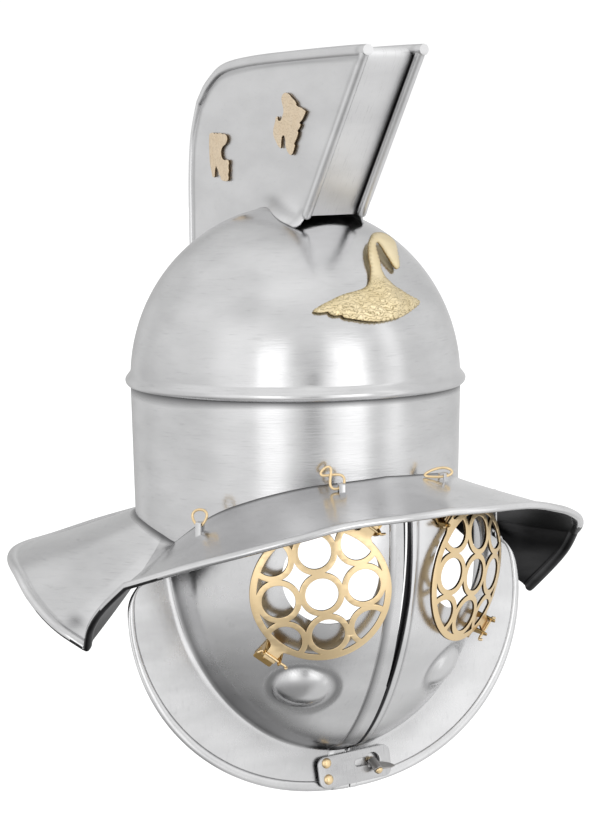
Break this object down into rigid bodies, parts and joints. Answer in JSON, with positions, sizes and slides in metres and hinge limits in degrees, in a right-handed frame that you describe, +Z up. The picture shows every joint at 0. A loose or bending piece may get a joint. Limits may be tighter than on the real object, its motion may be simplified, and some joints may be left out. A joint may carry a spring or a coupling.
{
  "type": "gladiator helmet",
  "caption": "Steel gladiator helmet with a box crest, a wide drooping brim, a split face guard, pierced brass eye grilles and a chin clasp.",
  "frame": {"origin": "inside of the bowl's crown, where the helmet rests on the head", "axes": "+Z up, the face looks along -Y, +X is the wearer's left"},
  "size_m": [0.374, 0.3575, 0.4747],
  "materials": {
    "steel": "satin polished, softly brushed",
    "dark_steel": "satin, darker than the plate",
    "brass": "satin polished, pale gold"
  },
  "bodies": {
    "helmet": {"bowl": "steel", "brim": "steel", "visor_right": "steel", "visor_left": "steel", "crest_plate_right": "steel", "crest_plate_left": "steel", "crest_strip": "steel", "winged_cutout_right": "brass", "winged_cutout_left": "brass", "legged_cutout_right": "brass", "legged_cutout_left": "brass", "swan": "brass", "grille_right": "brass", "grille_left": "brass", "bracket_lower_right": "brass", "bracket_lower_left": "brass", "bracket_upper_right": "brass", "bracket_upper_left": "brass", "split_pin_lower_right": "brass", "split_pin_lower_left": "brass", "split_pin_upper_right": "brass", "split_pin_upper_left": "brass", "staple_front_right": "steel", "staple_front_left": "steel", "staple_side_right": "steel", "staple_side_left": "steel", "staple_ring_front_right": "brass", "staple_ring_front_left": "brass", "staple_ring_side_right": "brass", "staple_ring_side_left": "brass", "hasp": "steel", "hasp_rivet_upper": "brass", "hasp_rivet_lower": "brass", "clasp_pin": "brass"},
    "turn_key": {"turn_key": "dark_steel"}
  },
  "joints": [
    {"name": "key_turn", "type": "hinge", "parent": "helmet", "child": "turn_key", "pos_m": [0.018, -0.06105, -0.35553], "axis": [0, -0.8572, -0.515], "range_deg": [0, 180]}
  ]
}
